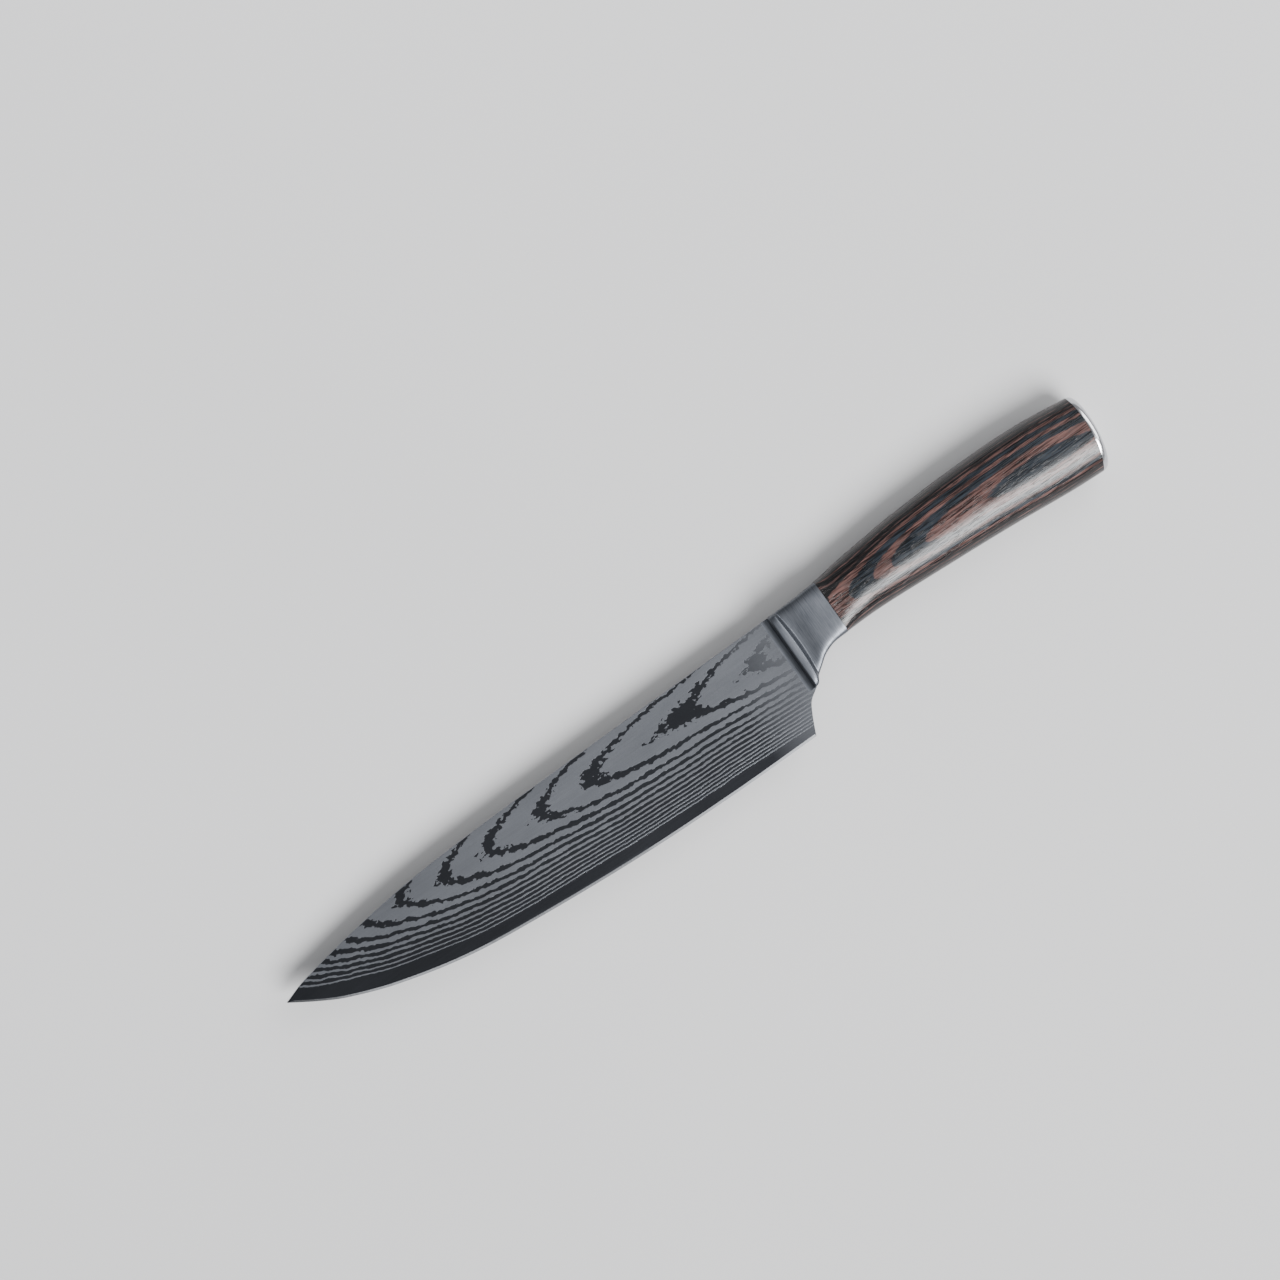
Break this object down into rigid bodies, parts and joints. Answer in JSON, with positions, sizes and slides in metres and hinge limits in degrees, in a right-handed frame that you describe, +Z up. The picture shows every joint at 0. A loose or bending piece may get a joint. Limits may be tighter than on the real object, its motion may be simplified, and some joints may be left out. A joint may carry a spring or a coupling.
{
  "type": "chef knife",
  "caption": "Chef's knife with a patterned flat-ground blade, ridged steel bolster, hidden tang, laminated wood handle and raked steel end cap, lying on its side.",
  "frame": {"origin": "bottom centre of the knife's bounding box as it lies on its side, under the blade's rear half", "axes": "+X along the knife from the tip to the butt, +Y from the cutting edge to the spine, +Z up through the blade's left side"},
  "size_m": [0.3346, 0.0474, 0.021],
  "materials": {
    "blade_steel": "satin ground steel with a dark laser-etched wavy pattern and a bright edge bevel",
    "bolster_steel": "satin, brushed across the handle",
    "keel_steel": "mill finish, hidden",
    "pin_steel": "drawn rod, hidden",
    "cap_steel": "polished",
    "laminated_wood": "resin-filled blue-black and brown veneers, polished to a satin gloss",
    "cured_epoxy": "amber, hidden"
  },
  "bodies": {
    "root": {"blade": "blade_steel", "bolster": "bolster_steel", "tang_keel": "keel_steel", "epoxy_bedding": "cured_epoxy", "handle_scale_left": "laminated_wood", "handle_scale_right": "laminated_wood", "locating_pin_front": "pin_steel", "locating_pin_rear": "pin_steel", "end_cap": "cap_steel", "cap_rivet": "pin_steel"}
  },
  "joints": []
}
